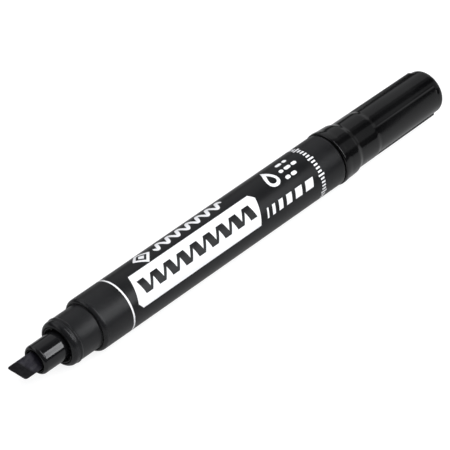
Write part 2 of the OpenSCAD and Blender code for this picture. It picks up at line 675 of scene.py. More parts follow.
class MouldedGrain(Effect):
    """Fine texture that the mould leaves, and slow changes of tone over the piece."""

    name = "moulded_grain"
    takes = {"Vector": "NodeSocketVector", "Frequency": "NodeSocketFloat"}
    gives = ("Height", "Tone")
    PIT_DEPTH: ClassVar[float] = 0.6
    FINE_DEPTH: ClassVar[float] = 0.5
    FINE_PITCH: ClassVar[float] = 1.7
    SLOW_PITCH: ClassVar[float] = 0.02

    def wire(self, graph: Graph, given: bpy.types.NodeOutputs) -> dict[str, Socket]:
        """Mix a fine noise with small cells; the tone is a slow noise.

        Args:
            graph: the group's node tree.
            given: the group's inputs.

        Returns:
            What the group gives, by name.
        """
        where, often = given["Vector"], given["Frequency"]
        pits = graph.cells(where, often)
        fine = graph.noise(where, graph.times(often, self.FINE_PITCH), detail=3.0, lacing=0.6)
        slow = graph.noise(where, graph.times(often, self.SLOW_PITCH), detail=2.0)
        return {
            "Height": graph.plus(graph.times(pits, self.PIT_DEPTH), graph.times(fine, self.FINE_DEPTH)),
            "Tone": graph.between(slow, low=0.3, high=0.7),
        }


class Handling(Effect):
    """Hairline scratches in patches, and faint smudges from fingers."""

    name = "handling"
    takes = {"Vector": "NodeSocketVector", "Amount": "NodeSocketFloat"}
    gives = ("Scratches", "Smudge")
    HAIRLINE: ClassVar[Colour] = (90.0, 5200.0, 5200.0)
    TURNS: ClassVar[tuple[Colour, ...]] = ((0.0, 0.05, 0.12), (0.4, -0.09, -0.2))
    PATCH_PITCH: ClassVar[float] = 130.0
    SMUDGE_PITCH: ClassVar[float] = 85.0

    def wire(self, graph: Graph, given: bpy.types.NodeOutputs) -> dict[str, Socket]:
        """Cut thin bright lines out of two stretched noises laid at slight angles.

        Args:
            graph: the group's node tree.
            given: the group's inputs.

        Returns:
            What the group gives, by name.
        """
        where, amount = given["Vector"], given["Amount"]
        lines: Value = 0.0
        for turn in self.TURNS:
            line = graph.noise(graph.stretched(where, self.HAIRLINE, turn), scale=1.0, detail=1.0)
            lines = graph.math("MAXIMUM", lines, graph.between(line, low=0.66, high=0.72))
        patch = graph.noise(where, self.PATCH_PITCH, detail=2.0)
        amount_here = graph.times(graph.between(patch, low=0.48, high=0.66), amount)
        smudge = graph.noise(where, self.SMUDGE_PITCH, detail=4.0, lacing=0.62)
        return {
            "Scratches": graph.times(lines, amount_here),
            "Smudge": graph.times(graph.between(smudge, low=0.42, high=0.7), amount),
        }


class EdgeRub(Effect):
    """Where hands and pockets polish the rounded edges."""

    name = "edge_rub"
    takes = {"Vector": "NodeSocketVector", "Amount": "NodeSocketFloat"}
    gives = ("Mask",)
    BREAK_PITCH: ClassVar[float] = 900.0

    def wire(self, graph: Graph, given: bpy.types.NodeOutputs) -> dict[str, Socket]:
        """Break the stored edge value up with a noise.

        Args:
            graph: the group's node tree.
            given: the group's inputs.

        Returns:
            What the group gives, by name.
        """
        edge = graph.add("ShaderNodeAttribute", attribute_name="rub").outputs["Fac"]
        spots = graph.noise(given["Vector"], self.BREAK_PITCH, detail=3.0, lacing=0.6)
        rubbed = graph.times(edge, graph.between(spots, low=0.3, high=0.62, start=0.25))
        return {"Mask": graph.times(rubbed, given["Amount"])}


class Fibres(Effect):
    """Bonded fibres that run along the marker, seen as streaks or, end on, as dots."""

    name = "fibres"
    takes = {"Vector": "NodeSocketVector"}
    gives = ("Height", "Streak", "Wet")
    STRAND: ClassVar[Colour] = (700.0, 9000.0, 9000.0)
    TUFT: ClassVar[Colour] = (260.0, 2600.0, 2600.0)
    STRAND_DEPTH: ClassVar[float] = 0.7
    TUFT_DEPTH: ClassVar[float] = 0.5
    WET_PITCH: ClassVar[float] = 620.0

    def wire(self, graph: Graph, given: bpy.types.NodeOutputs) -> dict[str, Socket]:
        """Stretch two noises along the axis; a slow noise says where the ink stands wet.

        Args:
            graph: the group's node tree.
            given: the group's inputs.

        Returns:
            What the group gives, by name.
        """
        where = given["Vector"]
        strand = graph.noise(graph.stretched(where, self.STRAND), scale=1.0, detail=3.0, lacing=0.6)
        tuft = graph.noise(graph.stretched(where, self.TUFT), scale=1.0, detail=2.0)
        wet = graph.noise(where, self.WET_PITCH, detail=2.0)
        return {
            "Height": graph.plus(
                graph.times(strand, self.STRAND_DEPTH), graph.times(tuft, self.TUFT_DEPTH)
            ),
            "Streak": graph.between(strand, low=0.35, high=0.7),
            "Wet": graph.between(wet, low=0.4, high=0.62),
        }


GRAIN, HANDLING, RUB, FIBRES = MouldedGrain(), Handling(), EdgeRub(), Fibres()


def shaded(colour: Colour, gain: float, lift: float = 0.0) -> Colour:
    """Give a colour multiplied and lifted, no lighter than white."""
    red, green, blue = (min(1.0, part * gain + lift) for part in colour)
    return red, green, blue


class Finish:
    """Starts a material with a Principled shader and the object's own coordinates."""

    def begin(self, name: str) -> tuple[bpy.types.Material, Graph, bpy.types.Node, Socket]:
        """Start the material.

        Args:
            name: name of the material.

        Returns:
            The material, its graph, its shader and its coordinates.
        """
        material = bpy.data.materials.new(name)
        material.use_nodes = True
        graph = Graph(material.node_tree)
        shader = graph.add("ShaderNodeBsdfPrincipled")
        output = graph.add("ShaderNodeOutputMaterial")
        graph.feed(output.inputs["Surface"], shader.outputs["BSDF"])
        where = graph.add("ShaderNodeTexCoord").outputs["Object"]
        return material, graph, shader, where


@dataclass(frozen=True)
class MouldedPlastic(Finish):
    """Moulded plastic, from matte to gloss.

    Args:
        name: name of the material.
        colour: its colour.
        roughness: its mean roughness.
        grain: size of one grain of the mould's texture, in millimetres.
        relief: depth of that texture, in millimetres.
        handled: how much handling it has seen, 0 to 1.
        specular: strength of its mirror reflection, 0.5 for plain plastic.
        rubbed: how far its rounded edges are polished, 0 to 1.
    """

    name: str
    colour: Colour
    roughness: float
    grain: float
    relief: float
    handled: float = 0.3
    specular: float = 0.5
    rubbed: float = 0.75
    REFRACTION: ClassVar[float] = 1.49
    MOTTLE: ClassVar[float] = 0.45
    UNEVEN: ClassVar[float] = 0.07
    RUB_TINT: ClassVar[float] = 0.25
    POLISH: ClassVar[float] = 0.6
    SMOOTHEST: ClassVar[float] = 0.03
    SMUDGE_ROUGH: ClassVar[float] = 0.07
    SCRATCH_ROUGH: ClassVar[float] = 0.18
    SCRATCH_DEPTH: ClassVar[float] = 0.5

    def material(self) -> bpy.types.Material:
        """Build the material.

        Returns:
            The material.
        """
        material, graph, shader, where = self.begin(self.name)
        grain = GRAIN.place(graph, Vector=where, Frequency=1 / (self.grain * MM))
        hand = HANDLING.place(graph, Vector=where, Amount=self.handled)
        rub = RUB.place(graph, Vector=where, Amount=self.rubbed)["Mask"]
        lighter = shaded(self.colour, gain=1.5, lift=0.004)
        worn = shaded(self.colour, gain=1.9, lift=0.012)
        tone = graph.blend(graph.times(grain["Tone"], self.MOTTLE), self.colour, lighter)
        marks = graph.math("MAXIMUM", hand["Scratches"], graph.times(rub, self.RUB_TINT))
        smooth, coarse = (self.roughness * (1 + self.UNEVEN * side) for side in (-1, 1))
        rough = graph.between(grain["Tone"], 0.0, 1.0, smooth, coarse)
        rough = graph.plus(rough, graph.times(hand["Smudge"], self.SMUDGE_ROUGH))
        rough = graph.plus(rough, graph.times(hand["Scratches"], self.SCRATCH_ROUGH))
        rough = graph.math("SUBTRACT", rough, graph.times(rub, self.roughness * self.POLISH))
        cut = graph.times(hand["Scratches"], self.SCRATCH_DEPTH)
        shading = {
            "Base Color": graph.blend(marks, tone, worn),
            "Roughness": graph.math("MAXIMUM", rough, self.SMOOTHEST),
            "Normal": graph.bump(graph.math("SUBTRACT", grain["Height"], cut), self.relief),
            "IOR": self.REFRACTION,
            "Specular IOR Level": self.specular,
        }
        graph.fill(shader, shading)
        return material


@dataclass(frozen=True)
class PrintInk(Finish):
    """Screen-printed ink on the barrel.

    Args:
        name: name of the material.
        colour: its colour.
        roughness: its mean roughness.
        grain: size of the specks in it, in millimetres.
        relief: their depth, in millimetres.
        handled: how much handling it has seen, 0 to 1.
    """

    name: str
    colour: Colour
    roughness: float
    grain: float = 0.16
    relief: float = 0.003
    handled: float = 0.35
    MOTTLE: ClassVar[float] = 0.6
    SCRATCH_TINT: ClassVar[float] = 0.6
    SMUDGE_ROUGH: ClassVar[float] = 0.1

    def material(self) -> bpy.types.Material:
        """Build the material.

        Returns:
            The material.
        """
        material, graph, shader, where = self.begin(self.name)
        grain = GRAIN.place(graph, Vector=where, Frequency=1 / (self.grain * MM))
        hand = HANDLING.place(graph, Vector=where, Amount=self.handled)
        thin, soiled = shaded(self.colour, gain=0.93), shaded(self.colour, gain=0.8)
        cover = graph.blend(graph.times(grain["Tone"], self.MOTTLE), self.colour, thin)
        marks = graph.times(hand["Scratches"], self.SCRATCH_TINT)
        shading = {
            "Base Color": graph.blend(marks, cover, soiled),
            "Roughness": graph.plus(graph.times(hand["Smudge"], self.SMUDGE_ROUGH), self.roughness),
            "Normal": graph.bump(grain["Height"], self.relief),
        }
        graph.fill(shader, shading)
        return material


@dataclass(frozen=True)
class InkedFibre(Finish):
    """Bonded fibre soaked with ink.

    Args:
        name: name of the material.
        deep: colour of the soaked fibre.
        pale: colour of the strands that catch the light.
        roughness: roughness where the ink has sunk in.
        relief: depth of the strands, in millimetres.
        nap: sheen of the loose fibre ends.
    """

    name: str
    deep: Colour
    pale: Colour
    roughness: float
    relief: float
    nap: float
    # How much of the painted shade colour the writing end takes.
    END_SHADE: ClassVar[float] = 0.9
    WET_ROUGH: ClassVar[float] = 0.72

    def material(self) -> bpy.types.Material:
        """Build the material.

        Returns:
            The material.
        """
        material, graph, shader, where = self.begin(self.name)
        fibre = FIBRES.place(graph, Vector=where)
        # Painted shade: the writing end, marked by its rub value, is painted darker than the rest of
        # the fibre.
        shaded_end = graph.add("ShaderNodeAttribute", attribute_name="rub").outputs["Fac"]
        dry = graph.blend(fibre["Streak"], self.deep, self.pale)
        end_shade_colour = shaded(self.deep, gain=0.45)
        damp = self.roughness * self.WET_ROUGH
        shading = {
            "Base Color": graph.blend(graph.times(shaded_end, self.END_SHADE), dry, end_shade_colour),
            "Roughness": graph.between(fibre["Wet"], 0.0, 1.0, self.roughness, damp),
            "Normal": graph.bump(fibre["Height"], self.relief),
            "Sheen Weight": self.nap,
            "Sheen Roughness": 0.5,
        }
        graph.fill(shader, shading)
        return material


@dataclass(frozen=True)
class StudioPaper(Finish):
    """White backdrop paper lit from all round.

    Args:
        name: name of the material.
        colour: its colour.
        glow: light that it gives off to the camera, standing for the lights on it alone.
        bounce: light that it gives off to the marker, right under it.
        far_bounce: the same, out at the reach.
        reach: where far_bounce holds, in metres from the marker's axis.
    """

    name: str
    colour: Colour
    glow: float
    bounce: float
    far_bounce: float
    reach: float
    TOOTH_PITCH: ClassVar[float] = 900.0
    TOOTH_DEPTH: ClassVar[float] = 0.004

    def material(self) -> bpy.types.Material:
        """Build the material.

        Returns:
            The material.
        """
        material, graph, shader, where = self.begin(self.name)
        tooth = graph.noise(where, self.TOOTH_PITCH, detail=4.0, lacing=0.6)
        apart = graph.add("ShaderNodeSeparateXYZ")
        graph.feed(apart.inputs["Vector"], where)
        off = graph.math("ABSOLUTE", apart.outputs["Y"])
        bounce = graph.between(off, 0.0, self.reach, self.bounce, self.far_bounce)
        seen = graph.add("ShaderNodeLightPath").outputs["Is Camera Ray"]
        shading = {
            "Base Color": graph.blend(tooth, self.colour, shaded(self.colour, gain=0.985)),
            "Normal": graph.bump(tooth, self.TOOTH_DEPTH),
            "Roughness": 0.9,
            "Specular IOR Level": 0.1,
            "Emission Color": (1.0, 1.0, 1.0, 1.0),
            "Emission Strength": graph.between(seen, 0.0, 1.0, bounce, self.glow),
        }
        graph.fill(shader, shading)
        return material


class Palette:
    """Every finish of the marker, each built once."""

    def __init__(self) -> None:
        """Build the materials."""
        barrel = MouldedPlastic(
            "barrel_matte",
            (0.0055, 0.0056, 0.0062),
            roughness=0.35,
            grain=0.17,
            relief=0.006,
            specular=0.36,
            rubbed=1.0,
        )
        snout = MouldedPlastic(
            "snout_gloss",
            (0.004, 0.004, 0.0045),
            roughness=0.12,
            grain=0.6,
            relief=0.0006,
            handled=0.15,
        )
        cap = MouldedPlastic(
            "cap_satin",
            (0.0012, 0.0012, 0.0014),
            roughness=0.14,
            grain=0.35,
            relief=0.001,
            handled=0.35,
        )
        plug = MouldedPlastic(
            "plug_satin", (0.006, 0.006, 0.0065), roughness=0.24, grain=0.3, relief=0.0015, handled=0.2
        )
        liner = MouldedPlastic(
            "liner_soft", (0.045, 0.045, 0.05), roughness=0.55, grain=0.3, relief=0.003, handled=0.1
        )
        film = MouldedPlastic(
            "film_clear", (0.62, 0.62, 0.64), roughness=0.14, grain=0.8, relief=0.001, handled=0.1
        )
        nib = InkedFibre(
            "nib_fibre",
            deep=(0.0038, 0.0032, 0.0060),
            pale=(0.0120, 0.0106, 0.0172),
            roughness=0.75,
            relief=0.012,
            nap=0.04,
        )
        core = InkedFibre(
            "core_fibre",
            deep=(0.02, 0.015, 0.04),
            pale=(0.07, 0.055, 0.13),
            roughness=0.9,
            relief=0.02,
            nap=0.3,
        )
        self.barrel, self.snout, self.cap = barrel.material(), snout.material(), cap.material()
        self.plug, self.liner, self.film = plug.material(), liner.material(), film.material()
        self.print_white = PrintInk("print_white", (0.80, 0.80, 0.81), roughness=0.42).material()
        self.nib, self.core = nib.material(), core.material()


# ---------------------------------------------------------------- the barrel


@dataclass(frozen=True)
class Barrel(TurnedPart):
    """The moulded barrel with its turned-down neck."""

    PIECE = "barrel_moulding"
    SLOT = "barrel_plastic"
    NODE = "barrel"
    COLUMNS = 256
    length: float = 81.25
    radius: float = 6.75
    wall: float = 1.0
    shoulder_round: float = 1.0
    neck_length: float = 8.7
    neck_radius: float = 5.69
    neck_round: float = 1.2
    neck_bore: float = 4.15
    bead_back: float = 2.3
    bead_half: float = 0.5
    bead_height: float = 0.16
    inner_shoulder: float = 2.2
    rib_count: int = 6
    rib_radius: float = 5.38
    rib_width: float = 0.8
    rib_from: float = 3.8
    rib_to: float = 71.0
    rib_end: float = 0.1

    def outline(self) -> Outline:
        """Give the outline: neck, snap bead, shoulder, body, rear edge and bore.

        Returns:
            The outline.
        """
        bore = self.radius - self.wall
        crest = self.bead_back - self.neck_length
        return Outline(
            [
                Corner(-self.neck_length, self.neck_bore, 0.35),
                Corner(-self.neck_length, self.neck_radius, self.neck_round),
                *bead(self.neck_radius, crest, self.bead_half, self.bead_height),
                Corner(0.0, self.neck_radius, 0.12),
                Corner(0.0, self.radius, self.shoulder_round),
                Corner(self.length, self.radius, 0.2),
                Corner(self.length, bore, 0.08),
                Corner(self.rib_to, bore),
                Corner(self.rib_to - self.rib_end, bore),
                Corner(self.rib_from + self.rib_end, bore),
                Corner(self.rib_from, bore),
                Corner(self.inner_shoulder, bore),
                Corner(self.inner_shoulder, self.neck_bore),
            ]
        )

    def shape(self, station: float, radius: float, roll: float) -> float:
        """Lower the bore to the ribs that centre the reservoir.

        Args:
            station: where along the axis.
            radius: radius of the outline there.
            roll: where round the axis, in radians.

        Returns:
            The true radius.
        """
        inside = self.neck_bore < radius < self.radius - self.wall / 2
        if not inside or not self.rib_from < station < self.rib_to:
            return radius
        off = abs(math.remainder(roll, math.tau / self.rib_count)) * radius
        return self.rib_radius if off <= self.rib_width / 2 else radius


# ---------------------------------------------------------------- printing


def crossing(a: Point2, b: Point2, c: Point2, d: Point2) -> Point2:
    """Find the point where the line a-b meets the line c-d.

    Args:
        a: a point of the first line.
        b: another point of it.
        c: a point of the second line.
        d: another point of it.

    Returns:
        The point.
    """
    run, other = (b[0] - a[0], b[1] - a[1]), (d[0] - c[0], d[1] - c[1])
    spread = run[0] * other[1] - run[1] * other[0]
    share = ((c[0] - a[0]) * other[1] - (c[1] - a[1]) * other[0]) / spread
    return (a[0] + run[0] * share, a[1] + run[1] * share)


def lozenge_loop(centre: Point2, half: float) -> Loop:
    """Give a square that stands on its corner."""
    return [(centre[0] + half * x, centre[1] + half * y) for x, y in LOZENGE]


def slanted_bar(left: float, right: float, top: float, bottom: float, slant: float) -> Loop:
    """Give a bar with slanted ends, such as a chisel nib draws."""
    return [(left + slant, top), (right + slant, top), (right, bottom), (left, bottom)]


def plain_bar(middle: Point2, half_length: float, half_width: float) -> Loop:
    """Give a bar with square ends."""
    station, across = middle
    return [(station + half_length * x, across + half_width * y) for x, y in SQUARE]


def pill_loop(left: float, right: float, middle: float, half: float, steps: int = 10) -> Loop:
    """Give a bar with round ends.

    Args:
        left: station where it starts.
        right: station where it ends.
        middle: arc length of its middle line.
        half: half of its width.
        steps: steps round each end.

    Returns:
        Its outline.
    """
    places: Loop = []
    for centre, start in ((right - half, -math.pi / 2), (left + half, math.pi / 2)):
        for i in range(steps + 1):
            angle = start + math.pi * i / steps
            places.append((centre + half * math.cos(angle), middle + half * math.sin(angle)))
    return places


@dataclass(frozen=True)
class InkDrop:
    """An ink drop, its point towards lower rolls.

    Args:
        middle: its middle.
        half_width: about half of its width.
        half_height: half of its height.
        fullness: how full its sides are.
        sharpness: how sharp its point is.
        steps: steps round it.
    """

    middle: Point2
    half_width: float
    half_height: float
    fullness: float = 1.3
    sharpness: float = 1.6
    steps: int = 48

    def loop(self) -> Loop:
        """Draw the drop.

        Returns:
            Its outline.
        """
        places: Loop = []
        for i in range(self.steps):
            turn = math.tau * i / self.steps
            taper = math.sin(turn / 2) ** self.sharpness
            width = self.fullness * self.half_width * math.sin(turn) * taper
            places.append((self.middle[0] + width, self.middle[1] - self.half_height * math.cos(turn)))
        return places


@dataclass(frozen=True)
class Zigzag:
    """A zigzag drawn with a chisel nib: broad strokes down and fine strokes up.

    Args:
        left: station where the first stroke starts.
        right: station where the last one ends.
        top: arc length of its upper edge.
        bottom: arc length of its lower edge.
        strokes: how many broad strokes it has.
        broad: length of a broad stroke's end along the axis.
        fine: the same of a fine stroke.
        slant: how far a broad stroke leans along the axis.
    """

    left: float
    right: float
    top: float
    bottom: float
    strokes: int
    broad: float
    fine: float
    slant: float

    def loop(self) -> Loop:
        """Draw the zigzag.

        Returns:
            Its outline.
        """
        pitch = (self.right - self.left - self.broad - self.slant) / (self.strokes - 1)
        starts = [self.left + pitch * i for i in range(self.strokes)]
        upper: Loop = []
        lower: Loop = []
        for start, after in zip(starts, [*starts[1:], None]):
            foot = start + self.slant
            head_end, foot_end = (start + self.broad, self.top), (foot + self.broad, self.bottom)
            upper += [(start, self.top), head_end]
            lower += [(foot, self.bottom), foot_end]
            if after is not None:
                rising = (foot + self.broad - self.fine, self.bottom), (after, self.top)
                falling = (after, self.top), (after + self.slant, self.bottom)
                upper.append(crossing(head_end, foot_end, *rising))
                lower.append(crossing(foot_end, (after + self.fine, self.top), *falling))
        return upper + lower[::-1]


@dataclass(frozen=True)
class Wave:
    """A wavy line of even thickness with round ends.

    Args:
        left: station where it starts.
        right: station where it ends.
        middle: arc length of its middle.
        swing: how far it swings to each side.
        length: length of one wave.
        thickness: thickness of the line.
        steps: steps along it.
    """

    left: float
    right: float
    middle: float
    swing: float
    length: float
    thickness: float
    steps: int = 160

    def loop(self) -> Loop:
        """Draw the wave.

        Returns:
            Its outline.
        """
        near: Loop = []
        far: Loop = []
        for i in range(self.steps + 1):
            along = self.left + (self.right - self.left) * i / self.steps
            phase = math.tau * (along - self.left) / self.length
            slope = self.swing * math.tau / self.length * math.cos(phase)
            lean = math.hypot(1.0, slope)
            end = min(along - self.left, self.right - along)
            short = max(0.0, 1 - 2 * end / self.thickness)
            half = self.thickness / 2 * math.sqrt(max(0.0, 1 - short**2))
            across = self.middle + self.swing * math.sin(phase)
            near.append((along + half * slope / lean, across - half / lean))
            far.append((along - half * slope / lean, across + half / lean))
        return near + far[::-1][1:-1]


@dataclass(frozen=True)
class Print:
    """Marks printed on the barrel: loops of [station, arc length], the holes among them too.

    Args:
        name: name of the piece.
        loops: outlines; what lies inside an odd number of them is printed.
        radius: radius of the barrel.
        roll: roll of arc length 0.
    """

    name: str
    loops: Sequence[Loop]
    radius: float
    roll: float
    PROUD: ClassVar[float] = 0.018
    SUNK: ClassVar[float] = 0.02
    STRIP: ClassVar[float] = 0.4
    MARGIN: ClassVar[float] = 0.1
    MERGED: ClassVar[float] = 1e-5

    def inside(self, place: Vector) -> bool:
        """Say whether a point is printed.

        Args:
            place: the point, as its station and arc length.

        Returns:
            Whether it lies inside an odd number of loops.
        """
        odd = False
        for loop in self.loops:
            for (ax, ay), (bx, by) in zip(loop, loop[1:] + loop[:1]):
                crosses = (ay > place.y) != (by > place.y)
                if crosses and place.x < ax + (place.y - ay) / (by - ay) * (bx - ax):
                    odd = not odd
        return odd

    def triangles(self) -> tuple[list[Vector], list[list[int]]]:
        """Cut the loops into triangles, each no wider round the barrel than one strip.

        Returns:
            The points and, for each triangle, the indices of its points.
        """
        places: list[Vector] = []
        edges: list[tuple[int, int]] = []
        for loop in self.loops:
            first = len(places)
            places += [Vector(point) for point in loop]
            edges += [(first + i, first + (i + 1) % len(loop)) for i in range(len(loop))]
        left, right = (pick(p.x for p in places) for pick in (min, max))
        low, high = (pick(p.y for p in places) for pick in (min, max))
        for i in range(1, math.ceil((high - low) / self.STRIP)):
            level = low + self.STRIP * i
            edges.append((len(places), len(places) + 1))
            places += [Vector((left - self.MARGIN, level)), Vector((right + self.MARGIN, level))]
        found, _, faces, *_ = delaunay_2d_cdt(places, edges, [], 0, self.MERGED)
        kept = []
        for face in faces:
            middle = sum((found[i] for i in face), Vector((0.0, 0.0))) / len(face)
            if self.inside(middle):
                kept.append(face)
        return found, kept

    def build(self, axis: Axis, material: bpy.types.Material) -> None:
        """Build and install the marks as one thin skin of ink.

        Args:
            axis: the marker's axis.
            material: the ink.
        """
        mesh = Mesh(self.name)
        places, faces = self.triangles()
        used = sorted({i for face in faces for i in face})
        rolls = {i: self.roll + places[i].y / self.radius for i in used}
        outer, inner = (
            {i: mesh.vertex(axis.place(places[i].x, radius, rolls[i])) for i in used}
            for radius in (self.radius + self.PROUD, self.radius - self.SUNK)
        )
        sides: dict[tuple[int, int], None] = {}
        for face in faces:
            mesh.work.faces.new([outer[i] for i in face])
            mesh.work.faces.new([inner[i] for i in reversed(face)])
            sides.update(dict.fromkeys(zip(face, face[1:] + face[:1])))
        for a, b in sides:
            if (b, a) not in sides:
                mesh.work.faces.new((outer[b], outer[a], inner[a], inner[b]))
        install(mesh.finish(material), Body.BARREL, None)


@dataclass(frozen=True)
class Artwork:
    """The printing on the barrel. It has no lettering, only strokes that a nib would draw.

    Every place is [station, arc length round the barrel], and every size is in millimetres.

    Args:
        radius: radius of the barrel.
        panel: corners of the white panel.
        zigzag: the strokes left open in the panel.
        wave: the wavy line beside the panel.
        lozenge: middle of the lozenge at its start.
        lozenge_halves: half widths of the lozenge's outlines, from the outside in.
        drops: the ink drop and the hole in it.
        dashes: rows of dashes, each with its first station, its arc length and its lengths.
        dash_half: half of a dash's width.
        dash_gap: gap between two dashes.
        swatches: how many strokes the row of swatches has.
        swatch_from: station where the first one starts.
        swatch_broad: its breadth.
        swatch_growth: how much broader each next one is.
        swatch_gap: gap between two of them.
        ticks: how many marks the scale ring has.
        tick_station: station of its middle line.
        tick_halves: half lengths of a long mark and a short one.
        long_every: how often a mark is long.
        line_half: half of the width of its marks and of the front ring.
        ring_station: station of the front ring.
    """

    radius: float
    panel: tuple[Point2, ...] = (
        (13.35, -3.82),
        (52.95, -3.72),
        (54.05, -2.2),
        (51.75, 4.35),
        (12.45, 4.35),
        (11.4, 2.9),
    )
    zigzag: Zigzag = Zigzag(14.0, 51.6, -1.72, 1.82, strokes=9, broad=2.15, fine=0.95, slant=0.6)
    wave: Wave = Wave(24.3, 47.4, middle=-6.75, swing=1.15, length=3.3, thickness=0.92)
    lozenge: Point2 = (20.6, -6.75)
    lozenge_halves: tuple[float, ...] = (2.75, 1.75, 0.95)
    drops: tuple[InkDrop, ...] = (InkDrop((61.3, -4.5), 2.0, 3.1), InkDrop((61.3, -3.9), 1.1, 1.6))
    dashes: tuple[tuple[float, float, tuple[float, ...]], ...] = (
        (65.4, -6.2, (1.9, 1.3)),
        (64.4, -4.0, (1.3, 2.0, 1.6)),
        (64.4, -1.8, (1.5, 1.7)),
    )
    dash_half: float = 0.48
    dash_gap: float = 0.45
    swatches: int = 6
    swatch_from: float = 54.2
    swatch_broad: float = 0.55
    swatch_growth: float = 0.43
    swatch_gap: float = 1.25
    ticks: int = 45
    tick_station: float = 73.6
    tick_halves: tuple[float, float] = (0.95, 0.6)
    long_every: int = 5
    line_half: float = 0.23
    ring_station: float = 9.25

    def dash_loops(self) -> list[Loop]:
        """Draw the rows of round-ended dashes.

        Returns:
            An outline for each dash.
        """
        loops = []
        for left, middle, dashes in self.dashes:
            for dash in dashes:
                loops.append(pill_loop(left, left + dash, middle, self.dash_half))
                left += dash + self.dash_gap
        return loops

    def swatch_loops(self) -> list[Loop]:
        """Draw the strokes, each broader than the one before.

        Returns:
            An outline for each stroke.
        """
        loops = []
        left = self.swatch_from
        for i in range(self.swatches):
            broad = self.swatch_broad + self.swatch_growth * i
            loops.append(slanted_bar(left, left + broad, top=1.45, bottom=3.8, slant=0.75))
            left += broad + self.swatch_gap
        return loops

    def tick_loops(self) -> list[Loop]:
        """Draw the ring of short marks round the rear of the barrel.

        Returns:
            An outline for each mark.
        """
        long_half, short_half = self.tick_halves
        around = math.tau * self.radius
        loops = []
        for i in range(self.ticks):
            half = short_half if i % self.long_every else long_half
            middle = (self.tick_station, around * (i / self.ticks - 0.5))
            loops.append(plain_bar(middle, half, self.line_half))
        return loops

    def marks(self) -> dict[str, list[Loop]]:
        """Draw every group of marks.

        Returns:
            The outlines of each group, by its piece's name.
        """
        return {
            "print_panel": [list(self.panel), self.zigzag.loop()],
            "print_lozenge": [lozenge_loop(self.lozenge, half) for half in self.lozenge_halves],
            "print_wave": [self.wave.loop()],
            "print_drop": [drop.loop() for drop in self.drops],
            "print_bars": self.dash_loops(),
            "print_swatches": self.swatch_loops(),
            "print_scale_ring": self.tick_loops(),
        }

    def build(self, axis: Axis, material: bpy.types.Material) -> None:
        """Build and install every group of marks and the plain front ring.

        Args:
            axis: the marker's axis.
            material: the ink.
        """
        for name, loops in self.marks().items():
            Print(name, loops, self.radius, FACE_ROLL).build(axis, material)
        low, high = self.radius - Print.SUNK, self.radius + Print.PROUD
        front, back = self.ring_station - self.line_half, self.ring_station + self.line_half
        band = Outline([Corner(front, low), Corner(front, high), Corner(back, high), Corner(back, low)])
        piece = Turned("print_front_ring", band, even_rolls(Barrel.COLUMNS))
        install(piece.build(axis, material), Body.BARREL, None)


# ---------------------------------------------------------------- the writing end


@dataclass(frozen=True)
class NibHolder(TurnedPart):
    """The snout, its vented seat in the neck and the flange behind it."""

    PIECE = "nib_holder_moulding"
    SLOT = "holder_plastic"
    NODE = "nib_holder"
    COLUMNS = 216
    STEP: ClassVar[float] = 7.0
    reach: float = 15.8
    snout_radius: float = 3.63
    front_round: float = 0.85
    hole_radius: float = 2.7
    hole_depth: float = 3.8
    seat_radius: float = 4.15
    seat_front: float = -7.6
    flange_from: float = 2.2
    flange_to: float = 3.4
    flange_radius: float = 5.6
    hub_radius: float = 3.6
    hub_end: float = 5.0
    slot_radius: float = 2.3
    slot_half_width: float = 2.35
    slot_half_depth: float = 1.2
    slot_corner: float = 2.5
    slot_past: float = 0.2
    spike_radius: float = 1.62
    vent_count: int = 3
    vent_width: float = 0.7
    vent_depth: float = 0.35

    def outline(self) -> Outline:
        """Give the outline, from the front hole round the outside and back down the bore.

        Returns:
            The outline.
        """
        slot_from = self.hole_depth - self.reach
        slot_to = self.flange_to + self.slot_past
        corners = [
            Corner(-self.reach, self.hole_radius, 0.12),
            Corner(-self.reach, self.snout_radius, self.front_round),
            Corner(self.seat_front, self.snout_radius, 0.1),
            Corner(self.seat_front, self.seat_radius, 0.1),
            Corner(self.flange_from, self.seat_radius),
            Corner(self.flange_from, self.flange_radius, 0.1),
            Corner(self.flange_to, self.flange_radius, 0.1),
            Corner(self.flange_to, self.hub_radius),
            Corner(self.hub_end, self.hub_radius, 0.1),
            Corner(self.hub_end, self.spike_radius),
            Corner(slot_to, self.spike_radius),
            Corner(slot_to, self.slot_radius),
            Corner(slot_from, self.slot_radius),
            Corner(slot_from, self.hole_radius),
        ]
        return Outline(corners, step=self.STEP)

    def shape(self, station: float, radius: float, roll: float) -> float:
        """Cut the vents into the seat and shape the slot that grips the nib.

        Args:
            station: where along the axis.
            radius: radius of the outline there.
            roll: where round the axis, in radians.

        Returns:
            The true radius.
        """
        if radius == self.slot_radius:
            turn = roll - FACE_ROLL
            across = self.slot_half_depth / max(NEARLY_NONE, abs(math.cos(turn)))
            along = self.slot_half_width / max(NEARLY_NONE, abs(math.sin(turn)))
            return min(self.slot_corner, across, along)
        if radius == self.seat_radius and station < self.flange_from:
            off = abs(math.remainder(roll, math.tau / self.vent_count)) * radius
            return radius - self.vent_depth * (off <= self.vent_width / 2)
        return radius


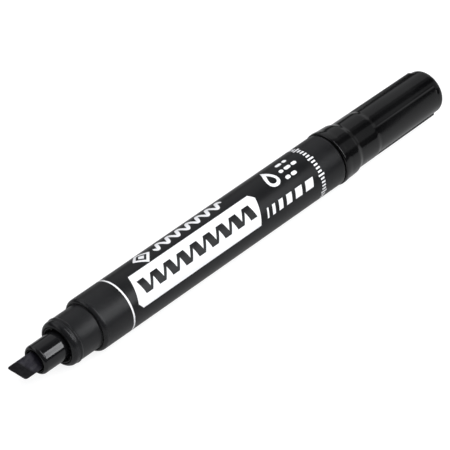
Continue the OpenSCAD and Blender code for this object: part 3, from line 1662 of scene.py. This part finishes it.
@dataclass(frozen=True)
class Nib:
    """The fibre nib: an oval stock ground flat on both sides, with a slanted, bevelled tip."""

    reach: float = 22.0
    half_width: float = 2.3
    oval_depth: float = 1.2
    flat_depth: float = 1.21
    tip_half_depth: float = 0.95
    flat_from: float = -17.85
    slant: float = math.radians(27.0)
    slant_inset: float = 0.12
    bevel: float = 1.6
    edge: float = 0.16
    back: float = 3.6
    spike_radius: float = 1.6
    spike_end: float = 14.0
    spike_point: float = 2.0
    OVAL: ClassVar[float] = 5.0
    SOFTNESS: ClassVar[float] = 14.0
    COLUMNS: ClassVar[int] = 96
    END_RINGS: ClassVar[int] = 12
    SIDE_RINGS: ClassVar[int] = 30
    CROWDING: ClassVar[float] = 1.25
    END_SECTION: ClassVar[float] = 1.5

    def half_at(self, station: float) -> float:
        """Give the distance of the ground flats from the axis at a station."""
        share = (station + self.reach) / (self.flat_from + self.reach)
        return self.tip_half_depth + (self.flat_depth - self.tip_half_depth) * max(0.0, share)

    def section(self, station: float, turn: float) -> float:
        """Give the radius of the nib's section.

        Args:
            station: where along the axis.
            turn: angle from the wide face's own direction, in radians.

        Returns:
            The radius, in millimetres.
        """
        deep = abs(math.cos(turn) / self.oval_depth) ** self.OVAL
        wide = abs(math.sin(turn) / self.half_width) ** self.OVAL
        oval = (deep + wide) ** (-1 / self.OVAL)
        flat = self.half_at(station) / max(NEARLY_NONE, abs(math.cos(turn)))
        return (oval**-self.SOFTNESS + flat**-self.SOFTNESS) ** (-1 / self.SOFTNESS)

    def tip(self, width: float, depth: float) -> float:
        """Give the station of the writing end over a point of the section.

        Args:
            width: offset of the point along the nib's width.
            depth: its offset along the nib's depth.

        Returns:
            The station.
        """
        slanted = -self.reach + (self.half_width - self.slant_inset + width) * math.tan(self.slant)
        rise = self.bevel * (depth + self.tip_half_depth) / (2 * self.tip_half_depth)
        return slanted + max(0.0, rise)

    def end_spot(self, turn: float, share: float) -> tuple[float, float, float]:
        """Give a point of the writing end.

        Args:
            turn: angle of the point in the section, in radians.
            share: how far out it lies, 0 to 1.

        Returns:
            Its station and its offsets along the width and the depth.
        """
        full = self.section(self.END_SECTION - self.reach, turn)
        width, depth = full * share * math.sin(turn), full * share * math.cos(turn)
        inset = full * (1 - share)
        drop = 0.0
        if inset < self.edge:
            drop = self.edge - math.sqrt(self.edge**2 - (self.edge - inset) ** 2)
        return self.tip(width, depth) + drop, width, depth

    def side_spot(self, turn: float, share: float) -> tuple[float, float, float]:
        """Give a point of the nib's side.

        Args:
            turn: angle of the point in the section, in radians.
            share: how far back it lies, 0 to 1.

        Returns:
            Its station and its offsets along the width and the depth.
        """
        first = self.section(self.END_SECTION - self.reach, turn)
        front = self.tip(first * math.sin(turn), first * math.cos(turn)) + self.edge
        station = front + (self.back - front) * share
        radius = self.section(station, turn)
        return station, radius * math.sin(turn), radius * math.cos(turn)

    def build(self, axis: Axis, material: bpy.types.Material) -> None:
        """Build and install the nib.

        Args:
            axis: the marker's axis.
            material: the fibre.
        """
        mesh = Mesh("nib_fibre")
        turns = even_rolls(self.COLUMNS)
        rings = []
        # The writing end's rings carry rub 1: the fibre's material paints them darker as painted shade.
        for ring in range(self.END_RINGS + 1):
            share = math.sin(math.pi / 2 * ring / self.END_RINGS)
            spots = [self.end_spot(turn, share) for turn in turns]
            rings.append(mesh.ring([axis.across(*spot, FACE_ROLL) for spot in spots], 1.0))
        for ring in range(1, self.SIDE_RINGS + 1):
            share = (ring / self.SIDE_RINGS) ** self.CROWDING
            spots = [self.side_spot(turn, share) for turn in turns]
            rings.append(mesh.ring([axis.across(*spot, FACE_ROLL) for spot in spots]))
        for station, radius in (
            (self.back, self.spike_radius),
            (self.spike_end - self.spike_point, self.spike_radius),
            (self.spike_end, 0.0),
        ):
            spots = [(station, radius * math.sin(turn), radius * math.cos(turn)) for turn in turns]
            rings.append(mesh.ring([axis.across(*spot, FACE_ROLL) for spot in spots]))
        mesh.skin(rings, closed=False)
        install(mesh.finish(material), Body.BARREL, "nib_fibre", "nib")


# ---------------------------------------------------------------- the rear end


@dataclass(frozen=True)
class RearPlug(TurnedPart):
    """The plug that closes the barrel and carries the cap on its post."""

    PIECE = "rear_plug_moulding"
    SLOT = "plug_plastic"
    NODE = "rear_plug"
    seat_from: float = 71.0
    seat_to: float = 81.25
    seat_radius: float = 5.75
    flange_radius: float = 6.2
    flange_depth: float = 0.35
    post_radius: float = 5.69
    post_length: float = 7.9
    bead_ahead: float = 1.8
    bead_half: float = 0.7
    bead_height: float = 0.1
    wall: float = 1.0

    def outline(self) -> Outline:
        """Give the outline: open seat, flange, post with its snap bead, closed end.

        Returns:
            The outline.
        """
        base = self.seat_to + self.flange_depth
        end = base + self.post_length
        hollow = self.post_radius - self.wall
        return Outline(
            [
                Corner(self.seat_from, hollow, 0.1),
                Corner(self.seat_from, self.seat_radius, 0.15),
                Corner(self.seat_to, self.seat_radius),
                Corner(self.seat_to, self.flange_radius, 0.08),
                Corner(base, self.flange_radius, 0.08),
                Corner(base, self.post_radius, 0.08),
                *bead(self.post_radius, end - self.bead_ahead, self.bead_half, self.bead_height),
                Corner(end, self.post_radius, 0.8),
                Corner(end, 0.0),
                Corner(end - self.wall, 0.0),
                Corner(end - self.wall, hollow, 0.3),
            ]
        )


@dataclass(frozen=True)
class Cap(TurnedPart):
    """The cap: lip, band, four rails and a round end. Stations count from its mouth."""

    PIECE = "cap_moulding"
    SLOT = "cap_plastic"
    NODE = "cap_shell"
    BODY = Body.CAP
    START = 81.65
    STEP: ClassVar[float] = 7.5
    length: float = 37.7
    lip_radius: float = 7.0
    lip_to: float = 0.75
    band_radius: float = 6.77
    band_slope: float = 0.05
    band_from: float = 2.8
    band_to: float = 4.8
    body_from: float = 6.9
    body_radius: float = 6.22
    panel_step: float = 0.03
    panel_lead: float = 0.3
    panel_crown: float = 0.01
    tail_radius: float = 5.66
    tail_taper: float = 0.03
    tail_round: float = 1.6
    gate_radii: tuple[float, ...] = (1.25, 1.05, 0.45, 0.3)
    gate_depth: float = 0.18
    gate_pip_depth: float = 0.06
    mouth_radius: float = 5.85
    mouth_depth: float = 9.35
    bead_station: float = 6.1
    bead_half: float = 0.7
    bead_height: float = 0.1
    liner_radius: float = 4.95
    liner_seat: float = 24.35
    core_radius: float = 4.6
    end_wall: float = 1.2
    wall_least: float = 0.3
    rail_count: int = 4
    rail_width: float = 0.24
    rail_rise: float = 0.42
    rail_fall: float = 2.3
    rail_hollow: float = 2.2
    rail_from: float = 12.2
    rail_ramp: float = 2.0
    rail_to: float = 35.5
    rail_end_radius: float = 6.05
    rail_sink: float = 0.31
    rail_roll: float = math.radians(43.9)
    rail_fade: tuple[float, float] = (0.36, 0.04)
    flank_least: float = 0.5
    PANEL_SHARES: ClassVar[tuple[float, ...]] = (0.25, 0.5, 0.75, 0.97)
    TAIL_OFFSETS: ClassVar[tuple[float, ...]] = (-0.35, -0.2, -0.05, 0.1, 0.4)
    BAND_STEPS: ClassVar[int] = 10
    RISE_COLUMNS: ClassVar[int] = 8
    RIDGE_COLUMNS: ClassVar[int] = 2
    FALL_COLUMNS: ClassVar[int] = 14
    PANEL_COLUMNS: ClassVar[int] = 26

    def outside(self) -> list[Corner]:
        """Give the outside: lip, band, step and the panels between the rails.

        Returns:
            The corners, from the mouth's edge to the tail.
        """
        panel = self.body_radius - self.panel_step
        low, high = self.band_radius - self.band_slope, self.band_radius + self.band_slope
        ramp_end = Corner(self.rail_from + self.rail_ramp, panel - self.rail_sink)
        along, down = self.rail_to - ramp_end.station, self.tail_radius - ramp_end.radius
        return [
            Corner(0.0, self.mouth_radius, 0.3),
            Corner(0.0, self.lip_radius, 0.45),
            *ease(Corner(self.lip_to, self.lip_radius), Corner(self.band_from, high)),
            *ease(Corner(self.band_to, low), Corner(self.body_from, self.body_radius), self.BAND_STEPS),
            Corner(self.rail_from - self.panel_lead, panel + self.panel_crown),
            *ease(Corner(self.rail_from, panel), ramp_end),
            *(
                Corner(ramp_end.station + along * share, ramp_end.radius + down * share)
                for share in self.PANEL_SHARES
            ),
            *(Corner(self.rail_to + off, self.tail_radius) for off in self.TAIL_OFFSETS),
            Corner(self.length, self.tail_radius - self.tail_taper, self.tail_round),
        ]

    def outline(self) -> Outline:
        """Give the outline: the outside, the gate mark at the end and then the bores.

        Returns:
            The outline.
        """
        rim, dish, foot, pip = self.gate_radii
        dished, pipped = self.length - self.gate_depth, self.length - self.gate_pip_depth
        inner_end = self.length - self.end_wall
        corners = [
            *self.outside(),
            Corner(self.length, rim, 0.08),
            Corner(dished, dish, 0.08),
            Corner(dished, foot, 0.05),
            Corner(pipped, pip),
            Corner(pipped, 0.0),
            Corner(inner_end, 0.0),
            Corner(inner_end, self.core_radius, 0.4),
            Corner(self.liner_seat, self.core_radius),
            Corner(self.liner_seat, self.liner_radius),
            Corner(self.mouth_depth, self.liner_radius, 0.15),
            Corner(self.mouth_depth, self.mouth_radius),
            *bead(self.mouth_radius, self.bead_station, self.bead_half, self.bead_height)[::-1],
        ]
        return Outline(corners, step=self.STEP)

    def rolls(self) -> list[float]:
        """Space the vertices round the cap, closer together on the rails' flanks.

        Returns:
            Their rolls.
        """
        edge = self.rail_width / 2 / self.body_radius
        rise, fall = self.rail_rise / self.body_radius, self.rail_fall / self.body_radius
        pitch = math.tau / self.rail_count
        marks = (
            (-edge - rise, self.RISE_COLUMNS),
            (-edge, self.RIDGE_COLUMNS),
            (edge, self.FALL_COLUMNS),
            (edge + fall, self.PANEL_COLUMNS),
            (pitch - edge - rise, 0),
        )
        spots = []
        for (start, columns), (end, _) in zip(marks, marks[1:]):
            spots += [start + (end - start) * column / columns for column in range(columns)]
        starts = [self.rail_roll + pitch * rail for rail in range(self.rail_count)]
        return [start + spot for start in starts for spot in spots]

    def rail_height(self, off: float) -> float:
        """Give how high a rail stands, 0 to 1.

        Args:
            off: distance round from its ridge, in millimetres.

        Returns:
            Its height.
        """
        flank = self.rail_rise if off < 0 else self.rail_fall
        share = min(1.0, max(0.0, (abs(off) - self.rail_width / 2) / flank))
        return (1 - share) ** self.rail_hollow

    def shape(self, station: float, radius: float, roll: float) -> float:
        """Raise the rails from the panels between them.

        Args:
            station: where along the axis.
            radius: radius of the panels there.
            roll: where round the axis, in radians.

        Returns:
            The true radius.
        """
        outside = radius > self.liner_radius + self.wall_least
        if not outside or not self.rail_from < station < self.rail_to:
            return radius
        share = (station - self.rail_from) / (self.rail_to - self.rail_from)
        top = self.body_radius - self.panel_step
        top += (self.rail_end_radius - top) * share
        height = max(0.0, top - radius)
        spread = max(self.flank_least, height / self.rail_sink)
        off = math.remainder(roll - self.rail_roll, math.tau / self.rail_count) * self.body_radius
        start, end = (self.rail_to - before for before in self.rail_fade)
        along = 1 - smooth_step(start, end, station)
        return radius + height * self.rail_height(off / spread) * along


@dataclass(frozen=True)
class CapLiner(TurnedPart):
    """The soft cup inside the cap that seals on the snout."""

    PIECE = "cap_liner_cup"
    SLOT = "liner_plastic"
    NODE = "cap_liner"
    BODY = Body.CAP
    COLUMNS = 144
    START = Cap.START
    mouth: float = 9.65
    end: float = Cap.liner_seat
    outer_radius: float = Cap.liner_radius
    inner_radius: float = 3.7
    end_wall: float = 1.0

    def outline(self) -> Outline:
        """Give the outline: the mouth, the outside, the end and the bore.

        Returns:
            The outline.
        """
        return Outline(
            [
                Corner(self.mouth, self.inner_radius, 0.4),
                Corner(self.mouth, self.outer_radius, 0.15),
                Corner(self.end, self.outer_radius),
                Corner(self.end, 0.0),
                Corner(self.end - self.end_wall, 0.0),
                Corner(self.end - self.end_wall, self.inner_radius, 0.5),
            ]
        )


def dress(node: str, material: bpy.types.Material) -> None:
    """Give one of the frame's own nodes its finish.

    Args:
        node: name of the node.
        material: its finish.
    """
    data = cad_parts[node].data
    data.materials.clear()
    data.materials.append(material)
    LOG.info("%s: dressed with %s", node, material.name)


# ---------------------------------------------------------------- the studio


def soft_panel(name: str, size: Point2, radiance: float) -> bpy.types.Object:
    """Make a rectangular light and put it into the scene.

    Args:
        name: its name.
        size: its length and width, in metres.
        radiance: how bright its face is.

    Returns:
        The light.
    """
    data = bpy.data.lights.new(name, "AREA")
    data.shape = "RECTANGLE"
    data.size, data.size_y = size
    data.energy = radiance * LIGHT_POWER * data.size * data.size_y
    made = bpy.data.objects.new(name, data)
    bpy.context.scene.collection.objects.link(made)
    return made


@dataclass(frozen=True)
class Softbox:
    """A flat softbox that faces the marker's axis.

    Args:
        name: name of the light.
        roll: its bearing round the axis, in degrees.
        distance: how far from the axis it hangs, in metres.
        start: where it starts along X, in metres.
        end: where it ends along X, in metres.
        width: its size across, in metres.
        radiance: how bright its face is; white paper in full light is about 1.
        mirrored: whether glossy surfaces reflect it; a flagged light only fills.
    """

    name: str
    roll: float
    distance: float
    start: float
    end: float
    width: float
    radiance: float
    mirrored: bool = True
    COLOUR: ClassVar[Colour] = (0.97, 0.98, 1.0)

    def build(self, axis: Axis) -> None:
        """Hang the softbox.

        Args:
            axis: the marker's axis.
        """
        turn = math.radians(self.roll)
        out = -self.distance * math.sin(turn), axis.height + self.distance * math.cos(turn)
        made = soft_panel(self.name, (self.end - self.start, self.width), self.radiance)
        made.data.color = self.COLOUR
        made.location = ((self.start + self.end) / 2, *out)
        made.rotation_euler = (turn, 0.0, 0.0)
        made.visible_glossy = self.mirrored


@dataclass(frozen=True)
class Studio:
    """Floor, lights and camera.

    Args:
        end_panel_x: where the panel behind the rear end stands along X, in metres.
        end_panel_size: its width and height, in metres.
        end_panel_radiance: how bright its face is.
        azimuth: bearing of the camera round Z from -Y, in radians.
        elevation: how high it looks down from, in radians.
        distance: how far it is from what it looks at, in metres.
        lens: its focal length on a full frame, in millimetres.
        aim_station: station that it looks at.
        aim_rise: height of that point over the axis, in millimetres.
        floor_half: half of the floor's side, in metres.
        softboxes: the softboxes.
        ambient: how bright the room is.
        backdrop: how bright it looks to the camera.
        paper: the paper on the floor.
    """

    end_panel_x: float = 1.1
    end_panel_size: float = 1.3
    end_panel_radiance: float = 0.10
    azimuth: float = math.radians(-46.87)
    elevation: float = math.radians(40.33)
    distance: float = 0.7470
    lens: float = 256.0
    aim_station: float = 46.34
    aim_rise: float = 1.41
    floor_half: float = 3.0
    softboxes: tuple[Softbox, ...] = (
        Softbox("fill_softbox", 28.0, 0.60, -0.45, 0.45, width=0.80, radiance=2.2, mirrored=False),
        Softbox("hot_strip", 52.0, 0.449, 0.19, 0.25, width=0.35, radiance=5.6),
        Softbox("front_band", 51.0, 0.45, 0.10, 0.26, width=0.36, radiance=0.27),
        Softbox("near_band", 51.0, 0.45, 0.26, 0.335, width=0.36, radiance=0.43),
        Softbox("far_band", 42.0, 0.45, 0.335, 0.62, width=0.33, radiance=0.20),
        Softbox("rear_band", 44.0, 0.45, 0.62, 1.5, width=0.40, radiance=0.24),
        Softbox("glint_strip", 28.0, 0.448, 0.02, 0.09, width=0.48, radiance=4.2),
        Softbox("far_side", -50.0, 0.60, -1.1, -0.16, width=0.34, radiance=0.7),
        Softbox("back_softbox", -46.0, 0.70, -0.2, 1.6, width=0.82, radiance=0.33),
        Softbox("back_edge", -9.0, 0.60, -0.2, 0.9, width=0.18, radiance=0.10),
    )
    ambient: float = 0.03
    backdrop: float = 0.92
    paper: StudioPaper = StudioPaper(
        "studio_paper", (0.25, 0.25, 0.25), glow=0.84, bounce=0.20, far_bounce=0.04, reach=0.10
    )
    SENSOR: ClassVar[float] = 36.0
    NEAREST: ClassVar[float] = 0.01
    FARTHEST: ClassVar[float] = 20.0

    def build(self, axis: Axis) -> None:
        """Set up the studio.

        Args:
            axis: the marker's axis.
        """
        for softbox in self.softboxes:
            softbox.build(axis)
        self._end_panel(axis)
        self._camera(axis)
        self._floor()
        self._room()

    def _room(self) -> None:
        """Give the room its light, and the camera a bright backdrop."""
        world = bpy.data.worlds.new("studio_room")
        world.use_nodes = True
        graph = Graph(world.node_tree)
        background = graph.add("ShaderNodeBackground")
        output = graph.add("ShaderNodeOutputWorld")
        graph.feed(output.inputs["Surface"], background.outputs["Background"])
        seen = graph.add("ShaderNodeLightPath").outputs["Is Camera Ray"]
        strength = graph.between(seen, 0.0, 1.0, self.ambient, self.backdrop)
        graph.feed(background.inputs["Strength"], strength)
        bpy.context.scene.world = world
        bpy.context.scene.view_settings.view_transform = "Standard"

    def _end_panel(self, axis: Axis) -> None:
        """Stand a soft panel behind the rear end, facing it.

        Args:
            axis: the marker's axis.
        """
        size = (self.end_panel_size, self.end_panel_size)
        made = soft_panel("end_panel", size, self.end_panel_radiance)
        made.location = (self.end_panel_x, 0.0, axis.height)
        made.rotation_euler = (0.0, math.radians(90), 0.0)

    def _camera(self, axis: Axis) -> None:
        """Place the camera and make it the scene's own.

        Args:
            axis: the marker's axis.
        """
        level = math.cos(self.elevation)
        back = Vector(
            (math.sin(self.azimuth) * level, -math.cos(self.azimuth) * level, math.sin(self.elevation))
        )
        data = bpy.data.cameras.new("camera")
        data.lens = self.lens
        data.sensor_width = self.SENSOR
        data.clip_start, data.clip_end = self.NEAREST, self.FARTHEST
        camera = bpy.data.objects.new("camera", data)
        camera.location = axis.place(self.aim_station, self.aim_rise, 0.0) + back * self.distance
        camera.rotation_euler = (-back).to_track_quat("-Z", "Y").to_euler()
        bpy.context.scene.collection.objects.link(camera)
        bpy.context.scene.camera = camera

    def _floor(self) -> None:
        """Lay the paper that the marker lies on."""
        mesh = Mesh("studio_floor")
        corners = [(self.floor_half * x, self.floor_half * y, 0.0) for x, y in SQUARE]
        mesh.work.faces.new([mesh.vertex(Vector(corner)) for corner in corners])
        mesh.finish(self.paper.material())


# ---------------------------------------------------------------- putting it together


def marker_axis(barrel: Barrel) -> Axis:
    """Find the marker's axis from the frame's own barrel and cap.

    Args:
        barrel: the barrel.

    Returns:
        The axis.
    """
    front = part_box("barrel")[0].x
    low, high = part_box("cap_shell")
    return Axis(front + barrel.neck_length * MM, (low.z + high.z) / 2)


def main() -> None:
    """Build the marker and its studio."""
    logging.basicConfig(level=logging.INFO, format="%(name)s %(message)s")
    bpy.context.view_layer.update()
    palette = Palette()
    barrel = Barrel()
    axis = marker_axis(barrel)
    Studio().build(axis)
    barrel.build(axis, palette.barrel)
    Artwork(barrel.radius).build(axis, palette.print_white)
    NibHolder().build(axis, palette.snout)
    Nib().build(axis, palette.nib)
    RearPlug().build(axis, palette.plug)
    Cap().build(axis, palette.cap)
    CapLiner().build(axis, palette.liner)
    dress("ink_reservoir", palette.core)
    dress("reservoir_film", palette.film)


if __name__ == "__main__":
    main()
